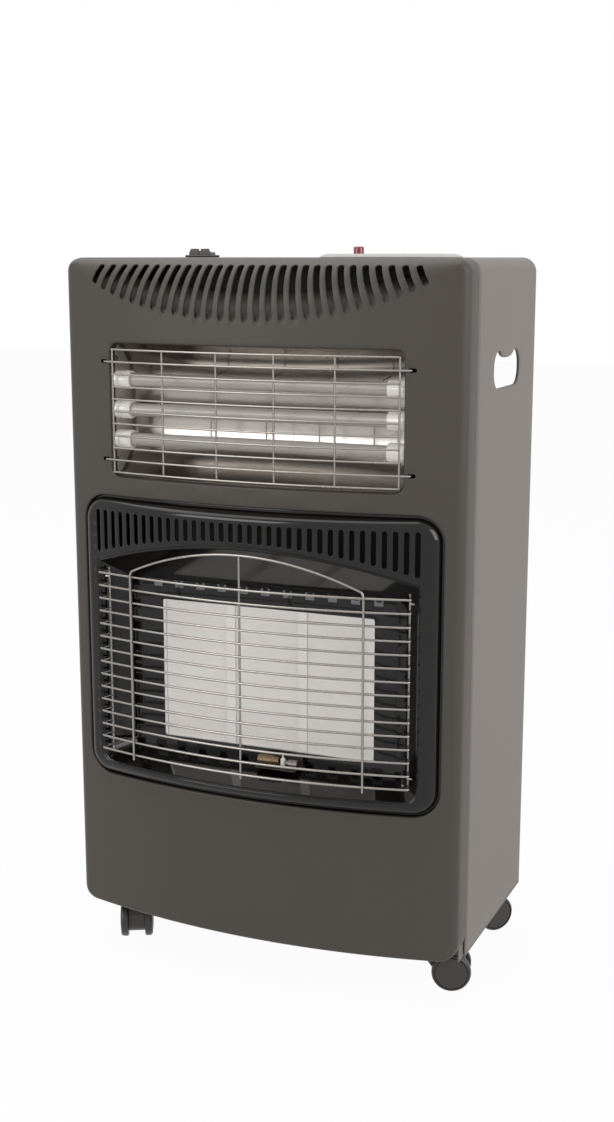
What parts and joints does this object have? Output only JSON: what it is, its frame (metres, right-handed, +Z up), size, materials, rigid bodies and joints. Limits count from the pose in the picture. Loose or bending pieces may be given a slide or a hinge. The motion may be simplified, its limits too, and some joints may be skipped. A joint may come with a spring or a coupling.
{
  "type": "portable gas cabinet heater",
  "caption": "Cabinet heater on swivel casters: bowed front with ceramic gas burner behind a wire guard and quartz tube electric heater above, controls on top.",
  "frame": {"origin": "centre of the bounding box, on the floor under the casters", "axes": "+Z up, -Y out of the heater's front, +X to the right seen from the front"},
  "size_m": [0.424, 0.28, 0.737],
  "materials": {
    "panel_paint": "charcoal powder coat, satin",
    "wrap_paint": "grey powder coat, satin",
    "enamel": "gloss black vitreous enamel",
    "dark_sheet": "dull heat-proof coat",
    "galvanised": "galvanised sheet",
    "polished": "polished steel",
    "plaque": "unglazed white ceramic",
    "porcelain": "white porcelain",
    "quartz": "satin quartz",
    "brass": "machined",
    "black_plastic": "moulded, satin",
    "red_plastic": "moulded, gloss",
    "plate_plastic": "moulded, satin light grey",
    "core": "heating wire wound on a core"
  },
  "bodies": {
    "cabinet": {"front_panel": "panel_paint", "cabinet_wrap": "wrap_paint", "enamel_surround": "enamel", "firebox_liner": "enamel", "base_plate": "dark_sheet", "bulkhead": "dark_sheet", "burner_plenum": "galvanised", "mixing_tube_1": "galvanised", "mixing_tube_2": "galvanised", "mixing_tube_3": "galvanised", "pilot_bracket": "galvanised", "gas_pipe": "galvanised", "plaque_frame": "polished", "thermocouple": "polished", "lower_guard": "polished", "reflector": "polished", "end_plate_left": "polished", "end_plate_right": "polished", "upper_guard": "polished", "ceramic_plaque_1": "plaque", "ceramic_plaque_2": "plaque", "ceramic_plaque_3": "plaque", "pilot_electrode": "porcelain", "terminal_block": "porcelain", "end_cap_1_left": "porcelain", "end_cap_1_right": "porcelain", "end_cap_2_left": "porcelain", "end_cap_2_right": "porcelain", "end_cap_3_left": "porcelain", "end_cap_3_right": "porcelain", "quartz_tube_1": "quartz", "quartz_tube_2": "quartz", "quartz_tube_3": "quartz", "heating_core_1": "core", "heating_core_2": "core", "heating_core_3": "core", "injector_manifold": "brass", "pilot_burner": "brass", "gas_valve": "brass", "hose_tail": "brass", "control_plate": "plate_plastic", "knob_well": "plate_plastic", "piezo_igniter": "black_plastic", "switch_body": "black_plastic", "mains_gland": "black_plastic", "tip_over_switch": "black_plastic"},
    "push_collar": {"spring_collar": "galvanised"},
    "knob": {"control_knob": "black_plastic", "valve_stem": "galvanised"},
    "button": {"igniter_button": "red_plastic"},
    "left_rocker": {"rocker_left": "black_plastic"},
    "right_rocker": {"rocker_right": "black_plastic"},
    "swivel_fl": {"caster_fl_hood": "black_plastic"},
    "wheels_fl": {"caster_fl_wheels": "black_plastic"},
    "swivel_fr": {"caster_fr_hood": "black_plastic"},
    "wheels_fr": {"caster_fr_wheels": "black_plastic"},
    "swivel_rl": {"caster_rl_hood": "black_plastic"},
    "wheels_rl": {"caster_rl_wheels": "black_plastic"},
    "swivel_rr": {"caster_rr_hood": "black_plastic"},
    "wheels_rr": {"caster_rr_wheels": "black_plastic"}
  },
  "joints": [
    {"name": "knob_push", "type": "slide", "parent": "cabinet", "child": "push_collar", "axis": [0, 0, -1], "range_m": [0, 0.003], "stiffness_N_per_m": 2500, "springref_m": -0.001},
    {"name": "knob_turn", "type": "hinge", "parent": "push_collar", "child": "knob", "pos_m": [0.122, 0.01588, 0.722], "axis": [0, 0, 1], "range_deg": [-210, 0]},
    {"name": "igniter_push", "type": "slide", "parent": "cabinet", "child": "button", "axis": [0, 0, -1], "range_m": [0, 0.005], "stiffness_N_per_m": 1200, "springref_m": -0.001},
    {"name": "left_rocker_tilt", "type": "hinge", "parent": "cabinet", "child": "left_rocker", "pos_m": [-0.1075, 0.00887, 0.7283], "axis": [1, 0, 0], "range_deg": [0, 28]},
    {"name": "right_rocker_tilt", "type": "hinge", "parent": "cabinet", "child": "right_rocker", "pos_m": [-0.1075, 0.00887, 0.7283], "axis": [1, 0, 0], "range_deg": [0, 28]},
    {"name": "swivel_fl_turn", "type": "hinge", "parent": "cabinet", "child": "swivel_fl", "pos_m": [-0.1715, -0.04312, 0.0444], "axis": [0, 0, 1], "continuous": true},
    {"name": "wheels_fl_spin", "type": "hinge", "parent": "swivel_fl", "child": "wheels_fl", "pos_m": [-0.16333, -0.05916, 0.02], "axis": [0.891, 0.454, 0], "continuous": true},
    {"name": "swivel_fr_turn", "type": "hinge", "parent": "cabinet", "child": "swivel_fr", "pos_m": [0.1715, -0.04312, 0.0444], "axis": [0, 0, 1], "continuous": true},
    {"name": "wheels_fr_spin", "type": "hinge", "parent": "swivel_fr", "child": "wheels_fr", "pos_m": [0.18871, -0.03786, 0.02], "axis": [-0.2924, 0.9563, 0], "continuous": true},
    {"name": "swivel_rl_turn", "type": "hinge", "parent": "cabinet", "child": "swivel_rl", "pos_m": [-0.1715, 0.10088, 0.0444], "axis": [0, 0, 1], "continuous": true},
    {"name": "wheels_rl_spin", "type": "hinge", "parent": "swivel_rl", "child": "wheels_rl", "pos_m": [-0.18709, 0.10988, 0.02], "axis": [-0.5, -0.866, 0], "continuous": true},
    {"name": "swivel_rr_turn", "type": "hinge", "parent": "cabinet", "child": "swivel_rr", "pos_m": [0.1715, 0.10088, 0.0444], "axis": [0, 0, 1], "continuous": true},
    {"name": "wheels_rr_spin", "type": "hinge", "parent": "swivel_rr", "child": "wheels_rr", "pos_m": [0.18423, 0.1136, 0.02], "axis": [-0.7071, 0.7071, 0], "continuous": true}
  ]
}
